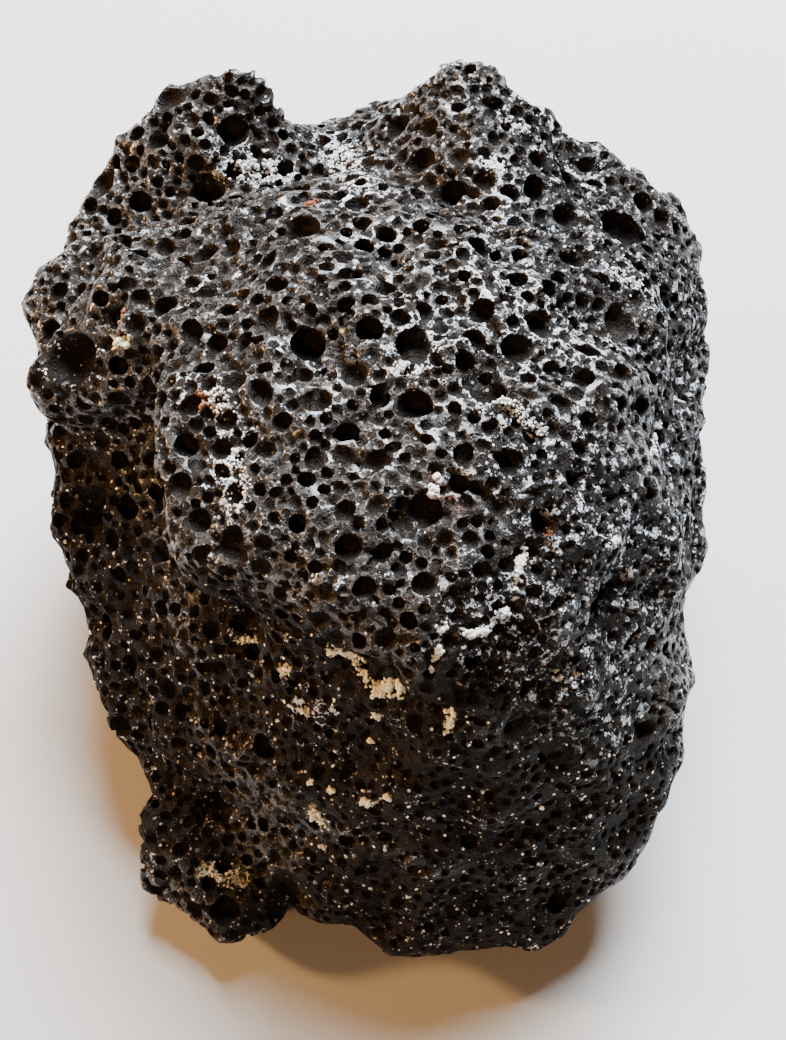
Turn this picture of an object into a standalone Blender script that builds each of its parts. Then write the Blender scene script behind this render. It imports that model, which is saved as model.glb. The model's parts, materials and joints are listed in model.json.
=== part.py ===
"""Lava rock: a fist-sized boulder of vesicular basalt, one solid that rests on a flat worn facet.

The boulder is built up from convex masses, each the hull of its own corner points. They are welded into
one skin, softened and roughened, cut flat underneath, and then pitted by its largest gas bubbles.
Corner points and sizes are in millimetres. X is right, Y is back, Z is up, and Z = 0 is the resting plane.
"""

import math
import random

import bmesh
import bpy
from mathutils import Matrix, Vector
from mathutils.bvhtree import BVHTree

MM = 0.001

# How the masses become one skin
WELD_CELL = 1.7 * MM        # grid of the voxel weld
SOFTEN_STEPS = 7            # passes that round the corners of the masses
LUMP_SIZE = 17 * MM         # broad swellings of the broken surface
LUMP_HEIGHT = 5.0 * MM
KNOB_SIZE = 6.5 * MM        # smaller knobs and dents on top of them
KNOB_HEIGHT = 3.0 * MM
SKIN_FACES = 3000           # triangles left in the skin before it is pitted
PITTED_FACES = 9700         # triangles left once it is pitted
FLOOR_BLOCK = (150, 150, 12)    # the block that cuts the resting facet, in millimetres

# Corner points of each mass, in millimetres
MASSES = {
    "body": [
        (-20, -28, -3), (6, -38, -3), (24, -36, -3), (34, -15, -3), (34, 14, -3),
        (20, 38, -3), (-8, 43, -3), (-28, 31, -3), (-36, 6, -3), (-30, -16, -3),
        (25, -51, 9), (8, -53, 7), (-8, -48, 10), (36, -42, 14), (41, -30, 22),
        (43, -19, 29), (45, 2, 36), (45, 22, 40), (46, 31, 41), (45, 41, 42),
        (31, 50, 30), (0, 55, 32), (-22, 52, 32), (-39, 41, 36), (-45, 22, 42),
        (-43, 8, 38), (-41, -4, 31), (-37, -20, 20), (-28, -31, 12),
        (39, 42, 48), (2, 54, 52), (-10, 50, 54), (-35, 42, 52), (-42, 30, 51),
        (-39, 14, 46), (39, 0, 48), (36, -20, 42), (8, -43, 31), (26, -42, 30), (-17, -34, 25),
        (8, -38, 45), (-8, -29, 44), (26, -35, 46),
    ],
    "dome": [
        (3, -4, 67), (-8, 14, 66), (18, 10, 66), (-20, 6, 63), (31, 2, 61), (24, -12, 63),
        (32, 22, 58), (-26, 22, 60), (-34, 28, 55), (28, -20, 57), (0, 36, 58), (-20, 32, 57),
        (20, 34, 58), (-28, 10, 44), (-20, 0, 40), (32, -24, 44), (34, 26, 40), (-30, 30, 40),
    ],
    "front_lobe": [
        (-24, -2, 62), (-24, -11, 61), (-22, -21, 57), (-11, -26, 59), (-2, -30, 60), (6, -33, 58),
        (6, -12, 67), (-6, -6, 66), (18, -30, 57), (28, -23, 55), (24, -14, 63), (-22, -18, 46),
        (-9, -26, 46), (9, -36, 48), (-19, 2, 42), (16, -4, 44), (24, -32, 49), (-14, 6, 64),
    ],
    "left_ridge": [
        (-41, 6, 51), (-45, 20, 51), (-40, 3, 46), (-21, -1, 61), (-18, 8, 64), (-30, 14, 61),
        (-22, 4, 52), (-37, 30, 55), (-30, 20, 40), (-38, 10, 42),
    ],
    "left_knob": [
        (-31, 49, 57), (-22, 49, 65), (-14, 48, 63), (-28, 43, 61), (-17, 40, 60), (-9, 47, 55),
        (-34, 44, 54), (-36, 36, 53), (-14, 35, 55), (-10, 49, 44), (-30, 51, 44), (-26, 31, 53),
        (-10, 38, 52),
    ],
    "right_peak": [
        (3, 51, 55), (13, 50, 64), (18, 50, 62), (24, 46, 58), (31, 42, 55), (8, 31, 60),
        (22, 28, 60), (36, 30, 50), (2, 40, 46), (34, 40, 44), (14, 54, 44), (-2, 38, 54),
    ],
    "right_shoulder": [
        (31, 43, 55), (39, 43, 51), (45, 41, 46), (46, 30, 43), (44, 18, 42), (30, 24, 58),
        (34, 10, 57), (32, -8, 56), (42, 0, 44), (28, 30, 36), (26, 0, 36), (38, -17, 46), (33, -22, 50),
    ],
    "foot": [
        (-30, -44, 8), (-31, -35, 13), (-24, -40, 15), (-18, -51, 6), (-11, -48, 8), (-20, -38, 17),
        (-12, -40, 15), (-27, -42, 2), (-14, -46, 1), (-20, -28, 4), (-18, -26, 14),
    ],
    "shelf": [
        (12, -34, 37), (34, -28, 36), (41, -20, 33), (14, -45, 33), (32, -39, 32), (39, -31, 28),
        (12, -42, 26), (34, -36, 22), (10, -26, 26), (30, -14, 26),
    ],
    "back_lobe": [
        (-16, 50, 15), (-10, 55, 24), (6, 57, 28), (20, 55, 22), (24, 49, 13), (4, 53, 12),
        (0, 50, 38), (-12, 42, 4), (16, 42, 3), (8, 40, 20),
    ],
    "left_flank": [
        (-43, 12, 24), (-44, 24, 28), (-41, 34, 24), (-39, 10, 12), (-36, 30, 8), (-40, 20, 38),
        (-36, 4, 20), (-34, 24, 2),
    ],
    "right_flank": [
        (43, 8, 22), (44, 22, 26), (42, 34, 22), (39, 8, 10), (37, 32, 8), (42, 18, 38),
        (34, 20, 0),
    ],
}

# The gas bubbles that burst at the surface, each at a point near the skin with its radius, in millimetres
TOP_BUBBLES = [
    (-21, 35, 56, 2.4), (-16, 29, 58, 1.8), (-28, 41, 60, 1.7), (-30, 34, 54, 1.7), (-9, 19, 65, 2.2),
    (-13, 22, 63, 1.7), (-26, 18, 60, 1.6), (-31, 23, 58, 1.6), (-30, 10, 60, 1.8), (-24, 9, 62, 1.8),
    (-2, 10, 67, 1.7), (-2, 5, 67, 1.5), (3, 14, 65, 2.4), (1, 1, 67, 1.8), (-16, 7, 64, 1.6),
    (-14, 2, 64, 1.6), (-1, -4, 66, 1.6), (6, -1, 67, 2.1), (13, -4, 66, 2.3), (18, 0, 65, 1.8),
    (24, -1, 63, 1.7), (15, 16, 65, 1.8), (8, 17, 65, 1.5), (10, 29, 60, 1.8), (22, 30, 60, 2.0),
    (32, 27, 57, 2.7), (36, 34, 54, 1.6), (13, 5, 66, 1.7), (16, 44, 63, 1.6), (4, 44, 59, 1.8),
]
FRONT_BUBBLES = [
    (-31, -4, 51, 1.6), (-23, -4, 61, 1.5), (-19, -11, 62, 1.7), (0, -15, 65, 1.8), (-2, -20, 64, 1.6),
    (-7, -21, 62, 1.5), (-36, -4, 36, 2.6), (-26, -11, 40, 1.8), (-14, -22, 43, 1.9), (0, -28, 60, 1.5),
    (5, -21, 63, 2.1), (20, -20, 62, 2.0), (10, -17, 64, 1.5), (16, -15, 64, 1.7), (32, -26, 43, 1.6),
    (12, -33, 53, 1.5), (-21, -36, 16, 2.1), (-12, -34, 31, 1.8), (34, -33, 34, 1.6), (24, -48, 15, 1.6),
]
# Hollows left by several bubbles that ran together: centre and half-lengths, in millimetres
HOLLOWS = [
    (-35.5, 7, 55, 4.4, 2.8, 3.2),      # the mouth in the left flank
    (-11, -46, 11, 2.2, 4.0, 6.0),      # the notch beside the foot
    (19, -37, 45, 5.0, 2.0, 1.7),       # the slot under the front shelf
]
BURIED_BUBBLES = 26             # large ones scattered over the back, the flanks and underneath
BURIED_RADIUS = (1.9, 2.8)      # millimetres
SMALL_BUBBLES = 160             # small ones scattered over every side
SMALL_RADIUS = (1.1, 1.6)       # millimetres
SCATTER_SEED = 1
ROCK_HEART = (0, 2, 28)         # the scatter looks outwards from this point
REST_RADIUS = 9 * MM            # no bubble opens this close to the middle of the resting facet
BUBBLE_GAP = 0.8 * MM           # rock left between two bubbles
BUBBLE_SINK = 0.3               # how far a bubble's centre lies below the skin, in radii
ROUND_RADIUS = 1.8 * MM         # from this radius up a bubble is cut with a rounder, costlier sphere

BASALT_COLOUR = (0.035, 0.034, 0.035, 1.0)
BASALT_ROUGHNESS = 0.55


def clear_scene():
    for obj in list(bpy.data.objects):
        bpy.data.objects.remove(obj)


def basalt():
    """Dark grey basalt with a dull glassy shine."""
    material = bpy.data.materials.new("basalt")
    material.use_nodes = True
    shader = material.node_tree.nodes["Principled BSDF"]
    shader.inputs["Base Color"].default_value = BASALT_COLOUR
    shader.inputs["Roughness"].default_value = BASALT_ROUGHNESS
    shader.inputs["Metallic"].default_value = 0.0
    return material


def hull(mesh, corners):
    """Adds the convex hull of the corners to the mesh as one more closed shell."""
    points = [mesh.verts.new(Vector(corner) * MM) for corner in corners]
    made = bmesh.ops.convex_hull(mesh, input=points)
    inside = [item for item in made["geom_interior"] if isinstance(item, bmesh.types.BMVert)]
    bmesh.ops.delete(mesh, geom=inside, context="VERTS")


def mesh_object(name, mesh):
    """Puts a bmesh in the scene as an object of that name."""
    data = bpy.data.meshes.new(name)
    mesh.to_mesh(data)
    mesh.free()
    obj = bpy.data.objects.new(name, data)
    bpy.context.scene.collection.objects.link(obj)
    return obj


def make_cutter(obj):
    """A cutter isn't part of the rock: it is drawn as wire and left out of renders."""
    obj.hide_render = True
    obj.display_type = "WIRE"
    return obj


def cut(rock, name, cutter):
    modifier = rock.modifiers.new(name, "BOOLEAN")
    modifier.operation = "DIFFERENCE"
    modifier.object = cutter


def displace(rock, name, size, height):
    texture = bpy.data.textures.new(name, "CLOUDS")
    texture.noise_basis = "IMPROVED_PERLIN"
    texture.noise_scale = size
    texture.noise_depth = 1
    modifier = rock.modifiers.new(name, "DISPLACE")
    modifier.texture = texture
    modifier.texture_coords = "LOCAL"
    modifier.mid_level = 0.5
    modifier.strength = height


def thin(rock, name, faces):
    """Merges the smallest triangles away until about so many are left."""
    modifier = rock.modifiers.new(name, "DECIMATE")
    modifier.ratio = faces / skin_of(rock)[1]


def boulder():
    """The masses welded into one skin, softened, roughened and thinned out."""
    mesh = bmesh.new()
    for corners in MASSES.values():
        hull(mesh, corners)
    rock = mesh_object("lava_rock", mesh)
    weld = rock.modifiers.new("weld", "REMESH")
    weld.mode = "VOXEL"
    weld.voxel_size = WELD_CELL
    soften = rock.modifiers.new("soften", "SMOOTH")
    soften.factor = 0.5
    soften.iterations = SOFTEN_STEPS
    displace(rock, "lumps", LUMP_SIZE, LUMP_HEIGHT)
    displace(rock, "knobs", KNOB_SIZE, KNOB_HEIGHT)
    thin(rock, "thin skin", SKIN_FACES)
    return rock


def skin_of(rock):
    """A search tree of the rock's evaluated surface, and its number of triangles."""
    graph = bpy.context.evaluated_depsgraph_get()
    skin = rock.evaluated_get(graph).to_mesh()
    skin.calc_loop_triangles()
    triangles = [tuple(triangle.vertices) for triangle in skin.loop_triangles]
    tree = BVHTree.FromPolygons([vertex.co.copy() for vertex in skin.vertices], triangles)
    return tree, len(triangles)


def floor_block():
    """The block below Z = 0, which cuts the resting facet."""
    mesh = bmesh.new()
    size = Vector(FLOOR_BLOCK) * MM
    bmesh.ops.create_cube(mesh, size=1.0)
    bmesh.ops.scale(mesh, vec=size, verts=mesh.verts)
    bmesh.ops.translate(mesh, vec=(0, 0, -size.z / 2), verts=mesh.verts)
    return make_cutter(mesh_object("floor_block", mesh))


def scattered(tree, taken, amount, smallest, largest, everywhere):
    """Bubbles at random places on the skin, clear of those already taken and of the resting facet."""
    chance = random.Random(SCATTER_SEED + amount)
    heart = Vector(ROCK_HEART) * MM
    found = []
    while len(found) < amount:
        turn = chance.uniform(-math.pi, math.pi)
        rise = chance.uniform(-1.0, 1.0)
        level = math.sqrt(1 - rise * rise)
        way = Vector((level * math.cos(turn), level * math.sin(turn), rise))
        place = tree.ray_cast(heart, way)[0]
        radius = chance.uniform(smallest, largest) * MM
        listed = place.z > 56 * MM or (place.y < 0 and place.z > 8 * MM)
        resting = place.z < 2 * MM and (everywhere or place.xy.length < REST_RADIUS)
        crowded = any((place - spot).length < radius + size + BUBBLE_GAP for spot, size in taken + found)
        if not crowded and not resting and (everywhere or not listed):
            found.append((place, radius))
    return found


def bubbles(tree):
    """One cutter that holds every bubble, each sunk below the skin under its point."""
    hollows = [(Vector(hollow[:3]) * MM, max(hollow[3:]) * MM) for hollow in HOLLOWS]
    spots = []
    for x, y, z, radius in TOP_BUBBLES + FRONT_BUBBLES:
        spots.append((tree.find_nearest(Vector((x, y, z)) * MM)[0], radius * MM))
    spots += scattered(tree, hollows + spots, BURIED_BUBBLES, *BURIED_RADIUS, everywhere=False)
    spots += scattered(tree, hollows + spots, SMALL_BUBBLES, *SMALL_RADIUS, everywhere=True)
    mesh = bmesh.new()
    for place, radius in spots:
        normal = tree.find_nearest(place)[1]
        turned = Matrix.Rotation(place.x / MM, 4, "X") @ Matrix.Rotation(place.y / MM, 4, "Z")
        shape = Matrix.Translation(place - normal * radius * BUBBLE_SINK) @ turned
        facets = 2 if radius >= ROUND_RADIUS else 1
        bmesh.ops.create_icosphere(mesh, subdivisions=facets, radius=radius, matrix=shape)
    for hollow in HOLLOWS:
        shape = Matrix.Translation(Vector(hollow[:3]) * MM) @ Matrix.Diagonal((*hollow[3:], 1.0))
        bmesh.ops.create_icosphere(mesh, subdivisions=3, radius=MM, matrix=shape)
    return make_cutter(mesh_object("bubbles", mesh))


def main():
    clear_scene()
    rock = boulder()
    rock.data.materials.append(basalt())
    cut(rock, "rest flat", floor_block())
    tree = skin_of(rock)[0]
    cut(rock, "burst bubbles", bubbles(tree))
    thin(rock, "thin pits", PITTED_FACES)
    # the resting facet is cut last, so that the thinning leaves it flat
    rock.modifiers.move(rock.modifiers.find("rest flat"), len(rock.modifiers) - 1)


main()
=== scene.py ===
"""Lava rock: the looks of a fist-sized boulder of vesicular basalt.

The boulder's skin is roughened and then opened by thousands of burst gas bubbles. White, cream and rust
coloured minerals grow on it in patches. Places and sizes in the lists are in millimetres.
"""
import json
import math

import bpy
import numpy as np
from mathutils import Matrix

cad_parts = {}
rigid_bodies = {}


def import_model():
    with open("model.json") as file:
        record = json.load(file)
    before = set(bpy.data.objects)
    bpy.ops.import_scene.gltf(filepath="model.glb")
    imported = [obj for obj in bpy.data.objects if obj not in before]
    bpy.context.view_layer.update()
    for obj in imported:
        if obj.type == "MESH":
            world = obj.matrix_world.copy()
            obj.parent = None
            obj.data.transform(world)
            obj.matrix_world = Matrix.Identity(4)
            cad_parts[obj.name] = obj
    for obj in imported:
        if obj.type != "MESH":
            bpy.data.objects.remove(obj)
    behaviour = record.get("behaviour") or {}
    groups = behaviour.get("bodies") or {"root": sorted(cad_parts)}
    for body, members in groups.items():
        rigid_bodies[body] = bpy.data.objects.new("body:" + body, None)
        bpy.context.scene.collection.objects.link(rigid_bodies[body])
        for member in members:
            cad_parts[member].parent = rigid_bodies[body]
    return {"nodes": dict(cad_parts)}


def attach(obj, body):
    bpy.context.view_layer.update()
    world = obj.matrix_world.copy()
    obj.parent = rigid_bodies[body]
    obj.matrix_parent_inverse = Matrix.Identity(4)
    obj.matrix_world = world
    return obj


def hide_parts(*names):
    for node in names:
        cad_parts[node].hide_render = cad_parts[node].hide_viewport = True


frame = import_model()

import openvdb
from bpy.props import FloatProperty, FloatVectorProperty, IntProperty, PointerProperty
from mathutils import Euler, Vector
from mathutils.bvhtree import BVHTree
from mathutils.kdtree import KDTree

bl_info = {
    "name": "Lava Rock",
    "version": (1, 0, 0),
    "blender": (4, 5, 0),
    "location": "View3D > Sidebar > Rock",
    "description": "Models the skin, the bubbles and the mineral crusts of a lava rock",
    "category": "Add Mesh",
}

MM = 0.001
SOLID = frame["nodes"]["lava_rock"]

# Places where the skin is drawn a little in or out: centre, reach, and how far it moves
DRAWN = [
    ((40, -26, 24), 20, (-1.6, 0.0, 0.0)),
    ((44, 2, 34), 14, (-0.8, 0.0, 0.0)),
    ((-20, 54, 58), 14, (0.0, 1.0, 0.9)),
    ((-2, 54, 50), 12, (0.0, 1.2, 0.9)),
    ((26, 54, 54), 11, (0.0, -1.3, 0.0)),
    ((-40, -14, 36), 14, (-0.8, 0.0, 0.0)),
]
# Large bubbles that give the rock its face: a point near the skin and the radius
NAMED_BUBBLES = [
    (-21, 35, 56, 2.4), (-16, 29, 58, 1.7), (-28, 41, 60, 1.5), (-30, 34, 54, 1.5), (-9, 19, 65, 2.1),
    (-13, 22, 63, 1.6), (-26, 18, 60, 1.4), (-31, 23, 58, 1.4), (-30, 10, 60, 1.7), (-24, 9, 62, 1.6),
    (-2, 10, 67, 1.5), (-2, 5, 67, 1.2), (3, 14, 65, 2.2), (1, 1, 67, 1.6), (-16, 7, 64, 1.3),
    (-14, 2, 64, 1.3), (-1, -4, 66, 1.4), (6, -1, 67, 2.0), (13, -4, 66, 2.2), (18, 0, 65, 1.7),
    (24, -1, 63, 1.5), (15, 16, 65, 1.7), (8, 17, 65, 1.3), (10, 29, 60, 1.6), (22, 30, 60, 1.8),
    (32, 27, 57, 2.6), (36, 34, 54, 1.5), (13, 5, 66, 1.5), (16, 44, 63, 1.5), (4, 44, 59, 1.7),
    (-31, -4, 51, 1.5), (-23, -4, 61, 1.2), (-19, -11, 62, 1.4), (0, -15, 65, 1.5), (-2, -20, 64, 1.2),
    (-7, -21, 62, 1.3), (-36, -4, 36, 2.4), (-26, -11, 40, 1.6), (-14, -22, 43, 1.7), (0, -28, 60, 1.2),
    (5, -21, 63, 1.9), (20, -20, 62, 1.8), (10, -17, 64, 1.2), (16, -15, 64, 1.5), (32, -26, 43, 1.3),
    (12, -33, 53, 1.3), (-21, -36, 16, 2.0), (-12, -34, 31, 1.6), (34, -33, 34, 1.3), (24, -48, 15, 1.3),
]
# Hollows and cracks longer than a bubble: centre, radius, how many times longer, and which way
LONG_HOLLOWS = [
    ((-35.5, 7, 55), 3.0, 1.5, (1, 0.2, 0.1)),
    ((-11, -46, 10), 2.2, 2.6, (0.1, 0.3, 1)),
    ((19, -38, 45), 1.5, 3.2, (1, -0.15, 0)),
    ((13.5, -18.8, 63), 0.85, 5.0, (0.62, -0.78, -0.1)),
]
# How coarse the froth is round each point, from 0, fine, to 1, coarse, and how far that reaches
FROTH = [
    ((0, -16, 62), 16, 0.75), ((-5, 18, 64), 22, 1.0), ((20, 20, 60), 20, 0.8), ((5, -44, 30), 18, 0.15),
    ((30, -40, 22), 18, 0.15), ((44, 5, 36), 20, 0.25), ((-32, -15, 38), 16, 0.8), ((-20, -42, 8), 9, 0.75),
    ((-38, 15, 30), 18, 0.5), ((0, 56, 30), 24, 0.55), ((0, 0, 0), 26, 0.5), ((-22, 44, 56), 12, 0.75),
    ((18, 46, 56), 12, 0.6), ((40, 35, 40), 16, 0.45), ((-12, -38, 25), 12, 0.35),
    ((29, -20, 52), 11, 0.15),
]
# The scattered bubbles, large ones first: smallest and largest radius, tries, rock left between two
BUBBLE_SIZES = [
    (1.35, 2.0, 350, 1.2),
    (0.90, 1.30, 4500, 0.45),
    (0.62, 0.86, 26000, 0.16),
    (0.44, 0.60, 90000, 0.09),
]
LISTED_SINK = 0.3           # how far a listed bubble's centre lies below the skin, in radii
DEEPEST_SINK = 0.75         # the same for the most closed of the scattered bubbles
HOST_RADIUS = 0.95          # bubbles larger than this have small ones burst into their walls
BURST_TRIES = (1, 4)        # tries at such small ones for each host: at least, and fewer than
BURST_SIZE = (0.30, 0.52)   # the radii of those small ones, as a share of their host's
BURST_SLOPE = (-0.7, 0.45)  # where they sit in the wall, from its bottom, -1, to its mouth, 1
BURST_REACH = 0.95          # how far out they are centred, in radii of their host
ROUND_RIM = 0.32            # how far the rims between the bubbles are rounded
FINE_SCALE = 0.74           # the finest froth's bubbles, as a share of the listed radii
COARSE_SCALE = 0.36         # how much is added to that share in the coarsest froth
COARSE_SHARE = 1.6          # the share of tries that is kept grows this fast with coarseness
LARGE_COST = 0.5            # and falls this fast with each millimetre over BASE_RADIUS
BASE_RADIUS = 0.48
LEAST_KEPT = 0.04           # the share of tries that is kept even in the finest froth
LONGEST_STRETCH = 1.3       # how much longer than wide a scattered bubble may be
BAND = 4                    # cells of the field that are kept on each side of the surface
MARGIN = 2                  # empty cells left round the field
JUST_UNDER_ONE = 0.999999   # keeps a random pick within the last triangle

# Stains of the skin, a zone of dark glass that is partly painted shade, and zones of painted sparkle and
# shade: what it is, points that it runs through, how far it spreads, its strength
STAINS = [
    ("film", [(-19, 37, 57), (-12, 39, 54)], 2.4, 1.0),
    ("film", [(-5, 45, 53), (-2, 38, 55), (-1, 31, 60), (-3, 27, 62)], 3.2, 0.85),
    ("film", [(15, 33, 62), (17, 33, 61)], 1.4, 1.2),
    ("film", [(17, 31, 60), (17, 25, 61), (14, 18, 64), (11, 8, 66)], 3.0, 0.6),
    ("film", [(8, 2, 66), (17, 9, 64), (19, 3, 65), (27, 6, 61)], 6.5, 0.70),
    ("film", [(29, 16, 61), (34, 16, 57), (35, 14, 56)], 1.8, 0.9),
    ("film", [(3.5, -3, 66), (6, -3, 66)], 1.2, 1.1),
    ("film", [(-20, -4, 63), (-16, -7, 64)], 2.2, 0.8),
    ("film", [(-15, -11, 62), (-14, -18, 61)], 2.6, 0.7),
    ("film", [(12, -6, 65), (20, -10, 63)], 2.4, 0.8),
    ("film", [(24, -5, 63), (25, -13, 62)], 2.2, 0.7),
    ("film", [(14, -28, 59), (22, -31, 50), (30, -30, 45)], 4.5, 0.5),
    ("film", [(-8, -32, 39), (-5, -33, 40)], 1.6, 0.8),
    ("film", [(26, -14, 61), (22, 0, 65), (20, 24, 61)], 11.0, 0.24),
    ("film", [(40, 30, 30), (38, 40, 34)], 4.0, 0.5),
    ("film", [(-10, 55, 34), (6, 57, 30)], 5.0, 0.5),
    ("rust", [(-19, -5, 64), (-16, -7, 64)], 1.3, 1.0),
    ("rust", [(-7, 27, 61)], 1.2, 1.3),
    ("rust", [(-29, 9, 61), (-29, 6, 59)], 1.2, 0.9),
    ("rust", [(7, -17, 64), (11, -20, 64)], 2.2, 0.7),
    ("rust", [(20.4, -20, 59.4)], 1.4, 1.1),
    ("rust", [(12.3, -21.6, 62)], 1.4, 0.6),
    ("rust", [(14, -36, 50), (22, -35, 46)], 2.2, 0.5),
    ("rust", [(-14, -45, 12)], 2.5, 0.7),
    ("rust", [(-30, 50, 30), (-40, 35, 25)], 3.0, 0.6),
    # dark glass and painted shade: brown glass at the lower front, darkened further there as painted shade
    ("dark_glass_and_shade", [(-4, -36, 38), (16, -44, 34), (30, -40, 28)], 14.0, 1.0),
    ("dark_glass_and_shade", [(-14, -24, 48), (4, -34, 46), (14, -34, 52)], 8.0, 0.9),
    ("dark_glass_and_shade", [(-18, -22, 50), (-16, -24, 38), (-16, -30, 26)], 7.0, 0.7),
    ("dark_glass_and_shade", [(0, -46, 16), (22, -48, 12)], 12.0, 0.9),
    # the next two are painted shade only, on the hollow at the left and down the left flank
    ("dark_glass_and_shade", [(-38, 7, 54), (-33, 7, 55)], 4.0, 1.0),
    ("dark_glass_and_shade", [(-40, -6, 40), (-34, -18, 30), (-28, -30, 16)], 12.0, 1.2),
    ("dark_glass_and_shade", [(-24, -36, 10), (-12, -48, 6)], 8.0, 0.8),
    # painted sparkle and painted shade: a darkened base with pale specks that stand in for glints
    ("painted_sparkle", [(20, -15, 62), (26, -20, 56), (31, -20, 50), (28, -30, 45)], 8.0, 1.0),
    ("painted_sparkle", [(12, -30, 57), (22, -32, 49)], 5.0, 0.8),
    ("painted_sparkle", [(39, 20, 50), (40, 4, 46), (39, -12, 42)], 9.0, 0.9),
    ("painted_sparkle", [(24, 14, 61), (30, 30, 58), (20, 44, 60)], 9.0, 0.5),
]
# Crusts of grains: kind, points that each runs through, its half width, grains, and their usual radius
CRUSTS = [
    ("white", [(-18, 37, 57.5), (-12, 39, 55)], 1.3, 60, 0.32),
    ("white", [(-4, 43, 54), (-3, 39, 55)], 2.0, 50, 0.28),
    ("white", [(15, 33, 62), (17, 33, 61)], 0.7, 34, 0.34),
    ("white", [(18, 40, 62), (21, 40, 62)], 0.8, 16, 0.30),
    ("white", [(3.5, -3, 66), (6, -3, 66)], 0.6, 30, 0.32),
    ("white", [(13, -6, 65), (17, -8, 65), (20, -10, 63)], 0.7, 70, 0.28),
    ("white", [(17.4, -23.3, 60.5), (16.6, -25.7, 59.6)], 0.28, 40, 0.32),
    ("white", [(16.6, -25.7, 59.6), (16.3, -28.1, 57.8)], 0.20, 26, 0.32),
    ("white", [(15.2, -29.4, 57.4)], 0.45, 18, 0.34),
    ("white", [(13.5, -31, 56.3), (10.9, -31.6, 56.5)], 0.36, 28, 0.32),
    ("white", [(8.6, -31.6, 58)], 0.35, 9, 0.36),
    ("white", [(8.2, -33, 56.6), (7.4, -34.2, 53.2)], 0.24, 24, 0.38),
    ("white", [(7.4, -18.3, 63.9)], 0.5, 12, 0.40),
    ("white", [(33, -7, 55), (35, -4, 52), (36, 0, 51)], 0.4, 44, 0.26),
    ("white", [(27, -21, 57), (28, -20, 57)], 0.35, 16, 0.32),
    ("white", [(30, 16, 60), (34, 16, 57)], 0.9, 40, 0.28),
    ("white", [(21, -32, 48), (25, -32, 46.5)], 0.8, 44, 0.28),
    ("white", [(-15, -12, 62), (-14, -17, 62)], 1.3, 34, 0.26),
    ("white", [(-17, -5, 64), (-16, -7, 64)], 1.2, 34, 0.26),
    ("cream", [(-3.9, -29.4, 48.5), (-1.4, -29.8, 48.2)], 0.45, 40, 0.34),
    ("cream", [(-1.4, -29.9, 48), (0.6, -32, 46.4)], 0.40, 30, 0.34),
    ("cream", [(1.2, -33.4, 46.2), (4.2, -33.7, 48.2)], 0.75, 80, 0.36),
    ("cream", [(1.3, -34.6, 42.6)], 0.42, 18, 0.38),
    ("cream", [(0.5, -35.9, 38.1)], 0.26, 7, 0.38),
    ("cream", [(9.7, -36.6, 48.3), (9.3, -38.1, 46.2)], 0.40, 24, 0.34),
    ("cream", [(-10, -28.8, 41.5), (-9, -28.8, 42.6)], 0.60, 22, 0.30),
    ("cream", [(-7.5, -32.4, 38.6), (-6, -32.4, 39)], 0.30, 8, 0.28),
    ("cream", [(-6.4, -39.5, 26), (-5.6, -40.5, 24)], 0.70, 56, 0.40),
    ("cream", [(-6.6, -38, 31)], 0.30, 10, 0.36),
    ("cream", [(-4.2, -39.2, 30.8)], 0.30, 8, 0.36),
    ("cream", [(-5.4, -42.5, 21)], 0.32, 8, 0.34),
    ("cream", [(-0.2, -40.8, 32), (0.9, -41, 32.6)], 0.45, 30, 0.42),
    ("cream", [(2.6, -41.6, 34.5)], 0.28, 9, 0.40),
    ("cream", [(-15.3, -24, 40.3), (-13.2, -24.4, 41.2)], 0.35, 10, 0.28),
    ("cream", [(-21.1, -42.6, 11.8), (-15.9, -43.9, 11.7)], 1.2, 14, 0.30),
    ("cream", [(-29, 6, 59.5)], 0.5, 10, 0.55),
    ("cream", [(8, -16.4, 63.8)], 0.25, 4, 0.55),
    ("cream", [(30, 40, 20), (36, 36, 24)], 1.2, 60, 0.34),
    ("cream", [(-20, 50, 22), (-14, 53, 28)], 1.0, 60, 0.34),
    ("cream", [(-42, 16, 22), (-43, 22, 26)], 0.9, 44, 0.34),
    ("rust", [(-7, 27, 61)], 0.6, 16, 0.34),
    ("rust", [(-19, -6, 64), (-18, -6.5, 64)], 0.5, 14, 0.36),
    ("rust", [(-29, 9, 60.5)], 0.4, 8, 0.45),
    ("rust", [(20.4, -20.8, 59)], 0.5, 14, 0.22),
]
GRAIN_KINDS = ("white", "cream", "rust")
GRAIN_SIZE = 0.62           # a grain's radius for each millimetre of its crust's usual radius
GRAINS_FOR_ONE = 2.6        # grains grown for each one that a crust lists
GRAIN_SPREAD = 1.6          # grains stray from their path by its half width divided by this
GRAIN_SEAT = 0.25           # how far a grain's middle stands off the skin, in radii
GRAIN_RANGE = (0.5, 1.4)    # the smallest and largest grain for a usual radius of 1
GRAIN_SQUASH = (0.5, 1.25)  # how flat or long a grain is along each of its own axes
GRAIN_SHAPES = 5            # different grains, which are repeated
GRAIN_SEED = 21
FULL_TURN = 6.28            # in radians
BED_SPREAD = 0.3            # the stain under a crust reaches this much further than the crust
BED_STRENGTH = 1.3
WHITE_GRAIN = (0.88, 0.87, 0.84)
CREAM_STAIN = (0.94, 0.86, 0.66)
RUST_STAIN = (0.45, 0.17, 0.05)

# The camera looks at this point from the front, down at this angle and from this far
CAMERA_TARGET = (3.2, -0.9, 30.4)
CAMERA_ELEVATION = math.radians(58)
CAMERA_DISTANCE = 193 * MM
CAMERA_LENS = 50
CAMERA_NEAR = 10 * MM
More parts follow.
